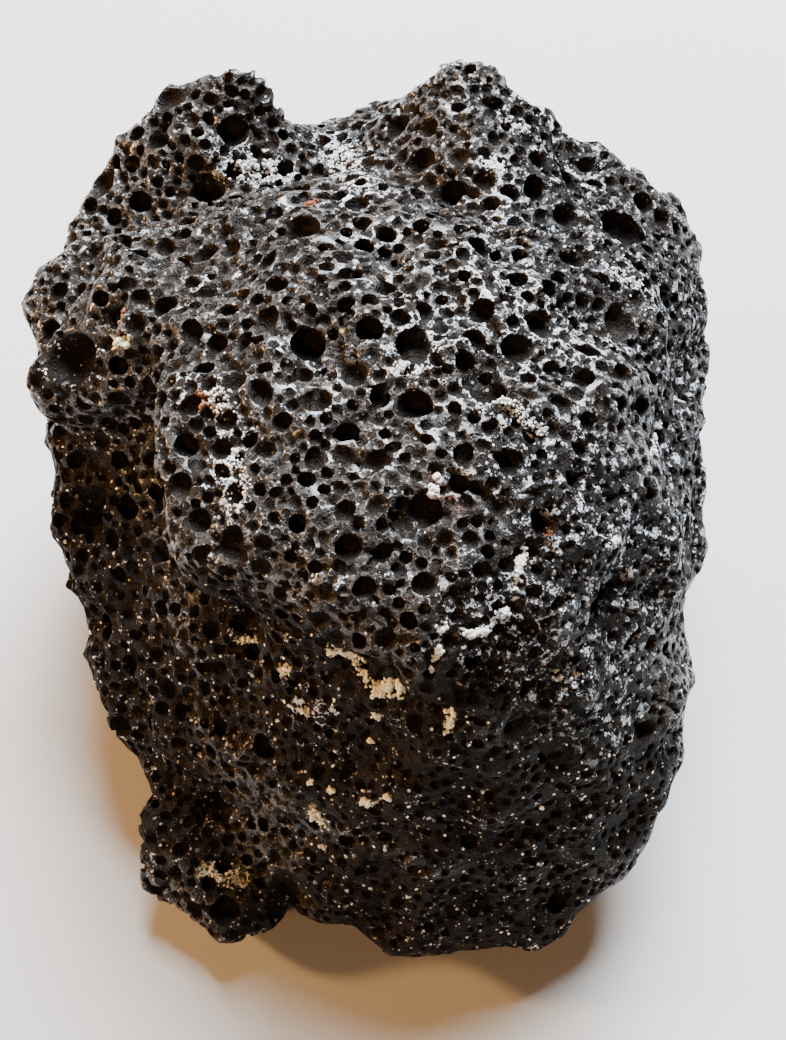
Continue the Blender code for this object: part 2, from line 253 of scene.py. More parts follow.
# Where each light is and how wide it is, in metres
WINDOW_LIGHT = (0.13, 0.60, 0.78), 0.62
FRONT_LIGHT = (-0.20, -0.34, 0.34), 0.06
SIDE_LIGHT = (-0.42, 0.03, 0.20), 0.05
COOL = (0.90, 0.95, 1.0)
WARM = (1.0, 0.52, 0.18)
SKY_COLOUR = (0.95, 0.97, 1.0, 1.0)
WALL_COLOUR = (0.90, 0.90, 0.91, 1.0)
FLOOR_SIZE = 3.0


class RockShape(bpy.types.PropertyGroup):
    """Sizes of the boulder's skin and froth."""

    cell: FloatProperty(name="Froth cell", description="Grid that the bubbles are cut out of",
                        default=0.26 * MM, precision=5, unit="LENGTH")
    skin_cell: FloatProperty(name="Skin cell", description="Grid that evens out the solid's facets",
                             default=0.7 * MM, precision=5, unit="LENGTH")
    soften: IntProperty(name="Soften", description="Passes that round the solid's facets", default=22)
    swell_size: FloatProperty(name="Swell size", description="Width of the skin's swellings",
                              default=9 * MM, precision=4, unit="LENGTH")
    swell_height: FloatProperty(name="Swell height", description="Height of the skin's swellings",
                                default=2.2 * MM, precision=4, unit="LENGTH")
    ridge_size: FloatProperty(name="Ridge size", description="Distance between the skin's sharp ridges",
                              default=11 * MM, precision=4, unit="LENGTH")
    ridge_height: FloatProperty(name="Ridge height", description="Height of the skin's sharp ridges",
                                default=1.1 * MM, precision=4, unit="LENGTH")
    knob_size: FloatProperty(name="Knob size", description="Width of the skin's small knobs",
                             default=3.2 * MM, precision=4, unit="LENGTH")
    knob_height: FloatProperty(name="Knob height", description="Height of the skin's small knobs",
                               default=0.9 * MM, precision=4, unit="LENGTH")
    triangles: IntProperty(name="Triangles", description="Triangles of the finished boulder",
                           default=199000)
    crisp: FloatProperty(name="Crisp edges", description="Edges sharper than this are shaded crisp",
                         default=math.radians(48), subtype="ANGLE")
    seed: IntProperty(name="Seed", description="Another number scatters the bubbles anew", default=5)


class RockFinish(bpy.types.PropertyGroup):
    """Colours of the rock and of what grows on it."""

    skin: FloatVectorProperty(name="Skin", description="Brown grey of the broken skin",
                              default=(0.0330, 0.0305, 0.0283), subtype="COLOR", size=3)
    # partly painted shade: this brown also darkens the shader's small pits and the depths of the bubbles
    bubble_brown_and_shade: FloatVectorProperty(name="Bubble walls", description="Brown black inside the bubbles",
                                default=(0.0230, 0.0186, 0.0158), subtype="COLOR", size=3)
    # partly painted shade: this near black also darkens the lower front, the left flank and the hollow at
    # the left
    dark_glass_and_shade: FloatVectorProperty(name="Bronze zone", description="Brown glassy rock at the lower front",
                                default=(0.0068, 0.0043, 0.0029), subtype="COLOR", size=3)
    film: FloatVectorProperty(name="White film", description="Thin salt on the skin",
                              default=(0.72, 0.75, 0.80), subtype="COLOR", size=3)
    cream: FloatVectorProperty(name="Cream crust", description="Lumpy cream coloured grains",
                               default=(0.92, 0.87, 0.62), subtype="COLOR", size=3)
    rust: FloatVectorProperty(name="Rust", description="Iron stains",
                              default=(0.22, 0.065, 0.020), subtype="COLOR", size=3)
    # painted glints: the colour of bright golden specks that stand in for highlights
    painted_glint: FloatVectorProperty(name="Glints", description="Specks of golden glass in the bronze zone",
                               default=(1.0, 0.90, 0.68), subtype="COLOR", size=3)


class StageSetup(bpy.types.PropertyGroup):
    """The floor and the lights."""

    floor: FloatVectorProperty(name="Floor", description="Pale paper under the rock",
                               default=(0.62, 0.62, 0.62), subtype="COLOR", size=3)
    key_power: FloatProperty(name="Window light", description="Watts of the light behind the rock",
                             default=58.0)
    fill_power: FloatProperty(name="Warm light", description="Watts of the warm light at the front",
                              default=0.75)
    side_power: FloatProperty(name="Side light", description="Watts of the warm light at the left",
                              default=2.2)
    sky: FloatProperty(name="Sky", description="Strength of the light from all round", default=0.052)


# ---------------------------------------------------------------- meshes


def only(obj):
    """Makes obj the one selected and active object."""
    bpy.ops.object.select_all(action="DESELECT")
    obj.select_set(True)
    bpy.context.view_layer.objects.active = obj


def apply_modifier(obj, name, kind, **settings):
    """Adds a modifier with those settings and applies it."""
    modifier = obj.modifiers.new(name, kind)
    for key, value in settings.items():
        setattr(modifier, key, value)
    only(obj)
    bpy.ops.object.modifier_apply(modifier=name)


def roughen(obj, name, size, height, ridged=False):
    """Swells and dents the surface by clouds of that size, or by sharp ridges that far apart."""
    relief = bpy.data.textures.new(name, "MUSGRAVE" if ridged else "CLOUDS")
    relief.noise_basis = "IMPROVED_PERLIN"
    relief.noise_scale = size
    if ridged:
        relief.musgrave_type = "RIDGED_MULTIFRACTAL"
        relief.octaves = 2.0
    else:
        relief.noise_depth = 2
    apply_modifier(obj, name, "DISPLACE", texture=relief, texture_coords="LOCAL", mid_level=0.5,
                   strength=height)


def corners_of(data):
    """The mesh's vertices and the vertex numbers of its triangles, as arrays."""
    data.calc_loop_triangles()
    points = np.empty(len(data.vertices) * 3, dtype=np.float32)
    data.vertices.foreach_get("co", points)
    corners = np.empty(len(data.loop_triangles) * 3, dtype=np.int32)
    data.loop_triangles.foreach_get("vertices", corners)
    return points.reshape(-1, 3), corners.reshape(-1, 3)


def tree_of(obj):
    """A search tree of the object's surface."""
    points, corners = corners_of(obj.data)
    return BVHTree.FromPolygons([Vector(point) for point in points.tolist()], corners.tolist())


def mesh_from(name, vertices, faces):
    """A mesh of faces that all have the same number of corners."""
    sides = faces.shape[1]
    data = bpy.data.meshes.new(name)
    data.vertices.add(len(vertices))
    data.vertices.foreach_set("co", vertices.astype(np.float32).ravel())
    data.loops.add(faces.size)
    data.loops.foreach_set("vertex_index", faces.astype(np.int32).ravel())
    data.polygons.add(len(faces))
    data.polygons.foreach_set("loop_start", np.arange(0, faces.size, sides, dtype=np.int32))
    data.update(calc_edges=True)
    return data


def add_object(name, data):
    obj = bpy.data.objects.new(name, data)
    bpy.context.scene.collection.objects.link(obj)
    return obj


def remove_object(obj):
    data = obj.data
    bpy.data.objects.remove(obj)
    bpy.data.meshes.remove(data)


# ---------------------------------------------------------------- the boulder


def draw_skin(skin):
    """Draws the skin in or out round the places listed."""
    points = corners_of(skin.data)[0]
    moved = points.copy()
    for centre, reach, move in DRAWN:
        gap = np.linalg.norm(points - np.array(centre) * MM, axis=1) / (reach * MM)
        moved += np.exp(-gap * gap)[:, None] * np.array(move) * MM
    skin.data.vertices.foreach_set("co", moved.ravel())
    skin.data.update()


def boulder_skin(shape):
    """A copy of the solid's mesh, welded, freed of its flat facets and roughened."""
    data = SOLID.data.copy()
    data.materials.clear()
    skin = add_object("boulder_skin", data)
    only(skin)
    bpy.ops.object.mode_set(mode="EDIT")
    bpy.ops.mesh.select_all(action="SELECT")
    bpy.ops.mesh.remove_doubles(threshold=0.00001)
    bpy.ops.object.mode_set(mode="OBJECT")
    apply_modifier(skin, "even skin", "REMESH", mode="VOXEL", voxel_size=shape.skin_cell)
    apply_modifier(skin, "soft facets", "SMOOTH", factor=0.5, iterations=shape.soften)
    draw_skin(skin)
    roughen(skin, "swells", shape.swell_size, shape.swell_height)
    roughen(skin, "ridges", shape.ridge_size, shape.ridge_height, ridged=True)
    roughen(skin, "knobs", shape.knob_size, shape.knob_height)
    return skin


def coarseness(places):
    """How coarse the froth is at each place, from 0 to 1."""
    points = np.array([spot[0] for spot in FROTH]) * MM
    reach = np.array([spot[1] for spot in FROTH]) * MM
    coarse = np.array([spot[2] for spot in FROTH])
    gap = np.linalg.norm(places[:, None, :] - points, axis=2) / reach
    weight = np.exp(-gap * gap) + 1e-6
    return (weight * coarse).sum(axis=1) / weight.sum(axis=1)


def skin_samples(skin, chance, amount):
    """Random places on the skin, even by area, and the outward direction at each."""
    points, corners = corners_of(skin.data)
    a, b, c = (points[corners[:, i]].astype(float) for i in range(3))
    across = np.cross(b - a, c - a)
    size = np.linalg.norm(across, axis=1)
    pick = np.searchsorted(np.cumsum(size), chance.random(amount) * size.sum() * JUST_UNDER_ONE)
    u = chance.random(amount)
    v = chance.random(amount)
    fold = u + v > 1
    u[fold], v[fold] = 1 - u[fold], 1 - v[fold]
    places = a[pick] + u[:, None] * (b - a)[pick] + v[:, None] * (c - a)[pick]
    return places, across[pick] / size[pick][:, None]


class Packing:
    """Balls packed so that each keeps its wall of rock to the others."""

    def __init__(self):
        self.centres = []
        self.radii = []
        self.outward = []

    def add(self, centre, radius, outward=(0, 0, 0)):
        self.centres.append(tuple(centre))
        self.radii.append(radius)
        self.outward.append(tuple(outward))

    def fill(self, middles, sizes, outward, wall):
        """Adds each ball, in that order, that is clear of every ball already there."""
        tree = KDTree(len(self.centres))
        for index, centre in enumerate(self.centres):
            tree.insert(centre, index)
        tree.balance()
        biggest = max(self.radii)
        pitch = 2 * max(sizes) + wall
        cells = {}
        for middle, radius, normal in zip(middles, sizes, outward):
            near = tree.find_range(middle, radius + biggest + wall)
            if any(gap < radius + self.radii[index] + wall for _, index, gap in near):
                continue
            home = [math.floor(value / pitch) for value in middle]
            rivals = (
                rival
                for i in (-1, 0, 1) for j in (-1, 0, 1) for k in (-1, 0, 1)
                for rival in cells.get((home[0] + i, home[1] + j, home[2] + k), ())
            )
            if any(math.dist(middle, other) < radius + size + wall for other, size in rivals):
                continue
            cells.setdefault(tuple(home), []).append((middle, radius))
            self.add(middle, radius, normal)


def burst_into_walls(packing, chance):
    """Adds small bubbles that have burst into the walls of the large ones."""
    hosts = list(zip(packing.centres, packing.radii, packing.outward))
    for centre, radius, outward in hosts:
        if radius < HOST_RADIUS * MM or not any(outward):
            continue
        for _ in range(chance.integers(*BURST_TRIES)):
            way = Vector(chance.normal(size=3)).normalized()
            if BURST_SLOPE[0] < way.dot(Vector(outward)) < BURST_SLOPE[1]:
                size = radius * chance.uniform(*BURST_SIZE)
                packing.add(Vector(centre) + way * radius * BURST_REACH, size)


def packed_bubbles(skin, tree, seed):
    """Every bubble as its centre, radius, stretch and the way that it is stretched."""
    chance = np.random.default_rng(seed)
    packing = Packing()
    for x, y, z, radius in NAMED_BUBBLES:
        place, normal = tree.find_nearest(Vector((x, y, z)) * MM)[:2]
        packing.add(place - normal * radius * MM * LISTED_SINK, radius * MM, normal)
    listed = len(packing.centres)
    for place, radius, longer, way in LONG_HOLLOWS:
        for step in np.linspace(1 - longer, longer - 1, 3):
            packing.add((Vector(place) + Vector(way).normalized() * radius * step) * MM, radius * MM)
    kept_clear = len(packing.centres)
    for smallest, largest, tries, wall in BUBBLE_SIZES:
        places, normals = skin_samples(skin, chance, tries)
        coarse = coarseness(places)
        # coarse froth has bubbles of every size, and fine froth has few but the small ones
        sizes = chance.uniform(smallest, largest, tries) * MM * (FINE_SCALE + COARSE_SCALE * coarse)
        share = COARSE_SHARE * coarse - LARGE_COST * (smallest - BASE_RADIUS)
        allowed = chance.random(tries) < np.clip(share, LEAST_KEPT, 1.0)
        sink = chance.uniform(0.0, DEEPEST_SINK, tries) * sizes
        middles = (places - normals * sink[:, None])[allowed].tolist()
        packing.fill(middles, sizes[allowed].tolist(), normals[allowed].tolist(), wall * MM)
    burst_into_walls(packing, chance)
    ways = chance.normal(size=(len(packing.centres), 3))
    ways /= np.linalg.norm(ways, axis=1)[:, None]
    stretch = chance.uniform(1.0, LONGEST_STRETCH, len(packing.centres))
    bubbles = list(zip(packing.centres, packing.radii, stretch.tolist(), ways))
    # the balls that kept the long hollows clear give way to the hollows themselves
    del bubbles[listed:kept_clear]
    for place, radius, longer, way in LONG_HOLLOWS:
        bubbles.append((Vector(place) * MM, radius * MM, longer, Vector(way).normalized()))
    return bubbles


def froth_from(skin, cell, bubbles):
    """The skin with the bubbles taken out of it, as vertices and four-cornered faces.

    Ten thousand cuts are too many for Boolean modifiers, so they are made in a field of distances.
    """
    points, corners = corners_of(skin.data)
    grid = openvdb.FloatGrid.createLevelSetFromPolygons(
        points / cell, triangles=corners.astype(np.uint32), halfWidth=BAND)
    low, high = (np.array(corner) for corner in grid.evalActiveVoxelBoundingBox())
    low -= MARGIN
    field = np.empty(high + MARGIN + 1 - low, dtype=np.float32)
    grid.copyToArray(field, ijk=tuple(low.tolist()))
    rim = np.float32(ROUND_RIM * MM / cell)
    for centre, radius, stretch, way in bubbles:
        middle = np.array(centre) / cell - low
        size = radius / cell
        # far enough to hold the rounded rim too
        reach = int(size * stretch) + 3
        start = np.maximum(np.floor(middle).astype(int) - reach, 0)
        stop = np.minimum(np.floor(middle).astype(int) + reach + 2, field.shape)
        x, y, z = np.ix_(*(np.arange(start[i], stop[i], dtype=np.float32) - np.float32(middle[i])
                           for i in range(3)))
        along = x * np.float32(way[0]) + y * np.float32(way[1]) + z * np.float32(way[2])
        gap = np.sqrt(x * x + y * y + z * z - along * along * np.float32(1 - 1 / stretch ** 2))
        block = field[start[0]:stop[0], start[1]:stop[1], start[2]:stop[2]]
        hole = np.float32(size) - gap
        # the larger of the two, with the crease between them rounded
        meet = np.maximum(rim - np.abs(block - hole), 0)
        np.maximum(block, hole, out=block)
        block += meet * meet / (4 * rim)
    # the rock rests flat, so nothing is left below Z = 0
    heights = np.arange(field.shape[2], dtype=np.float32) + np.float32(low[2])
    np.maximum(field, -heights, out=field)
    grid = openvdb.FloatGrid(float(BAND))
    grid.copyFromArray(np.clip(field, -BAND, BAND))
    vertices, _, quads = grid.convertToPolygons()
    return (vertices + low) * cell, quads


def largest_shell(obj):
    """Deletes the crumbs that the bubbles cut loose."""
    only(obj)
    before = set(bpy.data.objects)
    bpy.ops.mesh.separate(type="LOOSE")
    shells = [obj] + [other for other in bpy.data.objects if other not in before]
    shells.sort(key=lambda shell: len(shell.data.vertices))
    boulder = shells.pop()
    for shell in shells:
        remove_object(shell)
    return boulder


def store(data, name, values):
    """Keeps one number for each vertex, for the finish to read."""
    layer = data.attributes.new(name, "FLOAT", "POINT")
    layer.data.foreach_set("value", values.astype(np.float32))


def standing_proud(data, points):
    """How far each vertex stands out from its neighbours, from -1, a pit, to 1, a tip."""
    normals = np.empty(len(points) * 3, dtype=np.float32)
    data.vertex_normals.foreach_get("vector", normals)
    normals = normals.reshape(-1, 3)
    edges = np.empty(len(data.edges) * 2, dtype=np.int32)
    data.edges.foreach_get("vertices", edges)
    first, last = edges.reshape(-1, 2).T
    way = points[last] - points[first]
    way /= np.maximum(np.linalg.norm(way, axis=1), 1e-9)[:, None]
    rise = np.bincount(first, -(way * normals[first]).sum(axis=1), len(points))
    rise += np.bincount(last, (way * normals[last]).sum(axis=1), len(points))
    count = np.bincount(first, minlength=len(points)) + np.bincount(last, minlength=len(points))
    return rise / np.maximum(count, 1)


def gap_to_path(points, path):
    """The distance from each point to the nearest stretch of a path."""
    path = np.array(path, dtype=float) * MM
    if len(path) == 1:
        return np.linalg.norm(points - path[0], axis=1)
    gaps = []
    for start, stop in zip(path[:-1], path[1:]):
        way = stop - start
        share = np.clip((points - start) @ way / (way @ way), 0, 1)
        gaps.append(np.linalg.norm(points - start - share[:, None] * way, axis=1))
    return np.min(gaps, axis=0)


def mark_stains(data, points):
    """Stores how much of each stain and each zone of painted shade and painted sparkle there is at each
    vertex, with a bed of its own under each crust.
    """
    beds = [("film" if kind == "white" else kind, path, width + BED_SPREAD, BED_STRENGTH)
            for kind, path, width, _, _ in CRUSTS]
    for stain in ("film", "cream", "rust", "dark_glass_and_shade", "painted_sparkle"):
        amount = np.zeros(len(points))
        for kind, path, spread, strength in STAINS + beds:
            if kind == stain:
                gap = gap_to_path(points, path) / (spread * MM)
                amount = np.maximum(amount, strength * np.exp(-gap * gap))
        store(data, stain, amount)


# ---------------------------------------------------------------- materials


class Shade:
    """A socket of a material's nodes. Arithmetic on it adds Math nodes."""

    def __init__(self, finish, socket):
        self.finish = finish
        self.socket = socket

    def __add__(self, other):
        return self.finish.math("ADD", self, other)

    def __radd__(self, other):
        return self.finish.math("ADD", other, self)

    def __sub__(self, other):
        return self.finish.math("SUBTRACT", self, other)

    def __rsub__(self, other):
        return self.finish.math("SUBTRACT", other, self)

    def __mul__(self, other):
        return self.finish.math("MULTIPLY", self, other)

    def __rmul__(self, other):
        return self.finish.math("MULTIPLY", other, self)

    def __truediv__(self, other):
        return self.finish.math("DIVIDE", self, other)

    def beside(self, output):
        """Another output of the same node."""
        return Shade(self.finish, self.socket.node.outputs[output])


class Finish:
    """One material and the nodes that feed its shader."""

    def __init__(self, name):
        self.material = bpy.data.materials.new(name)
        self.material.use_nodes = True
        self.tree = self.material.node_tree
        self.shader = self.tree.nodes["Principled BSDF"]
        self.place = self.node("ShaderNodeTexCoord", {}, {}, "Object")

    def math(self, operation, first, second):
        return self.node("ShaderNodeMath", {"operation": operation}, {"Value": first, "Value_001": second})

    def node(self, kind, settings, sockets, output=None):
        """Adds a node, with its settings first, and returns one of its outputs, the first unless named."""
        node = self.tree.nodes.new(kind)
        for key, value in settings.items():
            setattr(node, key, value)
        inputs = {socket.identifier: socket for socket in node.inputs}
        for key, value in sockets.items():
            self.feed(inputs[key], value)
        outputs = {socket.identifier: socket for socket in node.outputs}
        return Shade(self, outputs[output] if output else node.outputs[0])

    def feed(self, socket, value):
        if isinstance(value, Shade):
            self.tree.links.new(value.socket, socket)
        else:
            socket.default_value = value

    def set(self, **values):
        """Sets or links sockets of the shader, such as base_color."""
        for key, value in values.items():
            self.feed(self.shader.inputs[key.replace("_", " ").title().replace("Ior", "IOR")], value)

    def painted(self, name):
        """The number that was stored on the mesh under that name."""
        return self.node("ShaderNodeAttribute", {"attribute_name": name}, {}, "Fac")

    def clouds(self, size, detail=3.0, roughness=0.55):
        """Soft noise whose lumps are about that wide, from 0 to 1."""
        return self.node("ShaderNodeTexNoise", {}, {
            "Vector": self.place, "Scale": 1 / size, "Detail": detail, "Roughness": roughness}, "Fac")

    def cells(self, size):
        """Cells about that wide: the gap to the nearest one's middle, and two random numbers of its own."""
        gap = self.node("ShaderNodeTexVoronoi", {}, {"Vector": self.place, "Scale": 1 / size}, "Distance")
        first = self.node("ShaderNodeSeparateColor", {}, {"Color": gap.beside("Color")}, "Red")
        return gap, first, first.beside("Green")

    def vesicles(self, cells, smallest, largest, share):
        """Round pits in that share of the cells, and the rims round them, each from 0 to 1."""
        gap, chance, _ = cells
        gap = gap / (smallest + (largest - smallest) * chance)
        there = self.ramp(chance, 1 - share, 1.01 - share)
        pit = (1 - self.ramp(gap, 0.80, 1.05)) * there
        rim = self.ramp(gap, 0.85, 1.1) * (1 - self.ramp(gap, 1.15, 1.5)) * there
        return pit, rim

    def painted_glint_specks(self, cells, reach, share, uneven):
        """Uneven specks in the middle of that share of the cells, from 0 to 1, used as painted glints."""
        gap, _, chance = cells
        near = 1 - self.ramp(gap + 0.5 * (uneven - 0.5), reach - 0.04, reach + 0.04)
        return near * self.ramp(chance, 1 - share, 1.01 - share)

    def tinted(self, colour, share):
        """The colour with its brightness scaled."""
        return self.node("ShaderNodeVectorMath", {"operation": "SCALE"}, {"Vector": colour, "Scale": share})

    def ramp(self, value, low, high):
        """0 where the value is under low, 1 over high, and smooth between."""
        return self.node("ShaderNodeMapRange", {"interpolation_type": "SMOOTHSTEP"}, {
            "Value": value, "From Min": low, "From Max": high})

    def blend(self, share, first, second):
        """The first colour where share is 0, and the second where it is 1."""
        return self.node("ShaderNodeMix", {"data_type": "RGBA"}, {
            "Factor_Float": share, "A_Color": first, "B_Color": second}, "Result_Color")

    def relief(self, height, depth):
        """A bump of that depth, for the shader's normal."""
        return self.node("ShaderNodeBump", {}, {"Height": height, "Distance": depth, "Strength": 1.0})


def rgba(colour, shade=1.0):
    return (colour[0] * shade, colour[1] * shade, colour[2] * shade, 1.0)


def basalt(tones):
    """Glassy brown grey broken skin, brown black bubble walls, films and stains of minerals, painted shade
    in pits and shaded zones, and painted highlights on rims and as glints.
    """
    f = Finish("basalt")
    depth = f.painted("depth")
    inside = f.ramp(depth, 0.10, 0.60)
    deep = f.ramp(depth, 0.4, 1.3)
    proud = f.ramp(f.painted("proud"), 0.04, 0.30)
    mottle = f.clouds(7.0 * MM, 4.0)
    lumps = f.clouds(1.5 * MM, 3.0)
    grit = f.clouds(0.42 * MM, 4.0, 0.7)
    # bubbles too small for the mesh, in two sizes, each with its rim
    wide_cells = f.cells(1.30 * MM)
    fine_cells = f.cells(0.62 * MM)
    wide, wide_rim = f.vesicles(wide_cells, 0.20, 0.50, 0.70)
    fine, fine_rim = f.vesicles(fine_cells, 0.24, 0.56, 0.80)
    pits = f.math("MAXIMUM", wide, fine)
    rims = f.math("MAXIMUM", wide_rim, fine_rim) * (1 - pits)
    # the rock itself
    # dark glass and painted shade: brown glass at the lower front, darkened further as painted shade, and
    # painted shade alone on the left flank and in the hollow at the left
    dark_glass_and_shade = f.ramp(f.painted("dark_glass_and_shade") + 0.5 * (mottle - 0.5), 0.20, 0.65)
    bare = 1 - dark_glass_and_shade
    skin = f.blend(f.ramp(mottle, 0.35, 0.70), rgba(tones.skin, 0.55), rgba(tones.skin, 1.25))
    skin = f.blend(f.ramp(lumps, 0.35, 0.65), f.tinted(skin, 0.5), skin)
    skin = f.blend(dark_glass_and_shade, skin, rgba(tones.dark_glass_and_shade))
    # painted sparkle and painted shade: in these zones the skin is darkened nearly to black and strewn with
    # pale specks that stand in for glints
    broken = f.ramp(f.painted("painted_sparkle") + 0.8 * (mottle - 0.5), 0.05, 0.45)
    painted_sparkle = f.ramp(0.8 * grit + 1.3 * (lumps - 0.5), 0.49, 0.53) * broken
    skin = f.blend(broken * 0.9, skin, rgba(tones.skin, 0.12))
    # the bubble walls are browner and darker than the skin, partly their own colour and partly painted
    # shade
    rock = f.blend(inside * 0.9, skin, rgba(tones.bubble_brown_and_shade))
    # painted highlight: rims and proud places are lightened as if they caught the light
    painted_rim_highlight = (rims * 0.65 + proud * 0.5) * (0.15 + 0.85 * bare) * (1 - inside) * f.ramp(grit, 0.35, 0.60)
    painted_rim_highlight = painted_rim_highlight * (1 - 0.85 * broken)
    rock = f.blend(painted_rim_highlight, rock, rgba(tones.skin, 5.0))
    # painted sparkle: the pale specks
    rock = f.blend(painted_sparkle * (0.95 - 0.6 * inside), rock, rgba(tones.film))
    # films and stains
    salt = f.painted("film") + 2.6 * (grit - 0.5) + 1.8 * (lumps - 0.5) + 0.9 * (mottle - 0.5)
    salt = f.ramp(salt + 0.35 * proud + 0.3 * rims - 0.9 * inside - 0.6 * pits - 0.15 * broken, 0.76, 1.02)
    rock = f.blend(salt, rock, rgba(tones.film))
    chalk = f.painted("cream") + 2.2 * (grit - 0.5) + 1.2 * (lumps - 0.5)
    chalk = f.ramp(chalk - 0.4 * deep, 0.60, 0.85)
    rock = f.blend(chalk, rock, f.blend(grit, rgba(tones.cream, 0.25), rgba(tones.cream, 1.0)))
    rust = f.ramp(f.painted("rust") + 1.5 * (grit - 0.5) + 0.5 * (lumps - 0.5), 0.50, 0.85)
    rock = f.blend(rust * 0.85, rock, f.blend(grit, rgba(tones.rust, 0.3), rgba(tones.rust, 1.4)))
    # painted shade: the shader's small pits and the deepest parts of the bubbles are darkened
    rock = f.blend(f.math("MAXIMUM", pits * 0.9, deep * 0.85), rock, rgba(tones.bubble_brown_and_shade, 0.9))
    # painted glints: bright specks, golden in the dark glass zone and pale elsewhere, that stand in for
    # highlights, with coat and metal so that they also reflect
    painted_glint_mask = f.math("MAXIMUM", f.painted_glint_specks(fine_cells, 0.31, 0.14 + 0.2 * broken, grit),
                   f.painted_glint_specks(wide_cells, 0.21, 0.16, grit) * dark_glass_and_shade)
    painted_glint_mask = painted_glint_mask * (0.15 + 0.85 * f.ramp(lumps, 0.42, 0.58)) * (1 - deep)
    rock = f.blend(painted_glint_mask, rock, f.blend(dark_glass_and_shade, rgba(tones.film), rgba(tones.painted_glint)))
    height = 0.55 * grit + 0.22 * f.clouds(0.16 * MM, 2.0) - 1.3 * pits + 0.35 * rims
    height = height + 0.5 * salt + 0.5 * chalk + 0.4 * painted_glint_mask + 0.5 * painted_sparkle
    f.set(base_color=rock, normal=f.relief(height, 0.20 * MM), specular_ior_level=0.05)
    f.set(roughness=0.20 + 0.20 * lumps + 0.20 * dark_glass_and_shade + 0.40 * (salt + chalk) - 0.15 * painted_glint_mask)
    coat = (0.3 + 0.7 * f.ramp(mottle, 0.35, 0.65)) * bare * (1 - salt) * (1 - pits) * (1 - inside)
    coat = coat * (1 - broken)
    f.set(coat_weight=f.math("MAXIMUM", coat, painted_glint_mask), coat_roughness=0.20, metallic=0.9 * painted_glint_mask * dark_glass_and_shade)
    return f.material


def grain_finish(name, colour, stain):
    """Chalky grains with fine darker specks, and a stain of another colour."""
    f = Finish(name)
    mottle = f.clouds(1.3 * MM)
    speck = f.clouds(0.18 * MM)
    body = f.blend(f.ramp(mottle, 0.40, 0.75) * 0.6, rgba(colour), rgba(stain))
    body = f.blend(f.ramp(speck, 0.52, 0.78) * 0.45, body, rgba(colour, 0.35))
    f.set(base_color=body, roughness=0.55 + 0.3 * mottle, normal=f.relief(speck, 0.05 * MM))
    return f.material


def paper(colour):
    """Pale matt paper with a faint tooth."""
    f = Finish("paper")
    fibre = f.clouds(1.4 * MM, 4.0)
    body = f.blend(f.ramp(fibre, 0.3, 0.7), rgba(colour, 0.985), rgba(colour))
    f.set(base_color=body, roughness=0.9, normal=f.relief(fibre, 0.05 * MM))
    return f.material


# ---------------------------------------------------------------- operators


class ROCK_OT_boulder(bpy.types.Operator):
    """Models the pitted boulder over its solid"""

    bl_idname = "rock.boulder"
    bl_label = "Boulder"

    def execute(self, context):
        shape = context.scene.rock_shape
        skin = boulder_skin(shape)
        tree = tree_of(skin)
        bubbles = packed_bubbles(skin, tree, shape.seed)
        vertices, quads = froth_from(skin, shape.cell, bubbles)
        remove_object(skin)
        boulder = largest_shell(add_object("basalt_boulder", mesh_from("basalt_boulder", vertices, quads)))
        boulder.name = "basalt_boulder"
        ratio = shape.triangles / (2 * len(boulder.data.polygons))
        apply_modifier(boulder, "thin out", "DECIMATE", ratio=min(ratio, 1.0))
        bpy.ops.object.shade_smooth_by_angle(angle=shape.crisp)
        points = corners_of(boulder.data)[0]
        depth = [tree.find_nearest(point)[3] / MM for point in points.tolist()]
        store(boulder.data, "depth", np.array(depth))
        store(boulder.data, "proud", standing_proud(boulder.data, points))
        mark_stains(boulder.data, points)
        boulder.data.materials.append(basalt(context.scene.rock_finish))
        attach(boulder, "root")
        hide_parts("lava_rock")
        return {"FINISHED"}


def grain_shapes(amount):
    """A few lumpy grains of a few dozen faces, as vertices and triangles."""
    shapes = []
    for seed in range(amount):
        bpy.ops.object.select_all(action="DESELECT")
        bpy.ops.mesh.primitive_ico_sphere_add(subdivisions=2, radius=1.0, location=(0, 0, 0))
        bpy.ops.object.mode_set(mode="EDIT")
        bpy.ops.mesh.select_all(action="SELECT")
        bpy.ops.transform.vertex_random(offset=0.22, uniform=0.4, seed=seed + 1)
        bpy.ops.object.mode_set(mode="OBJECT")
        grain = bpy.context.active_object
        apply_modifier(grain, "few faces", "DECIMATE", ratio=0.6)
        shapes.append(corners_of(grain.data))
        remove_object(grain)
    return shapes


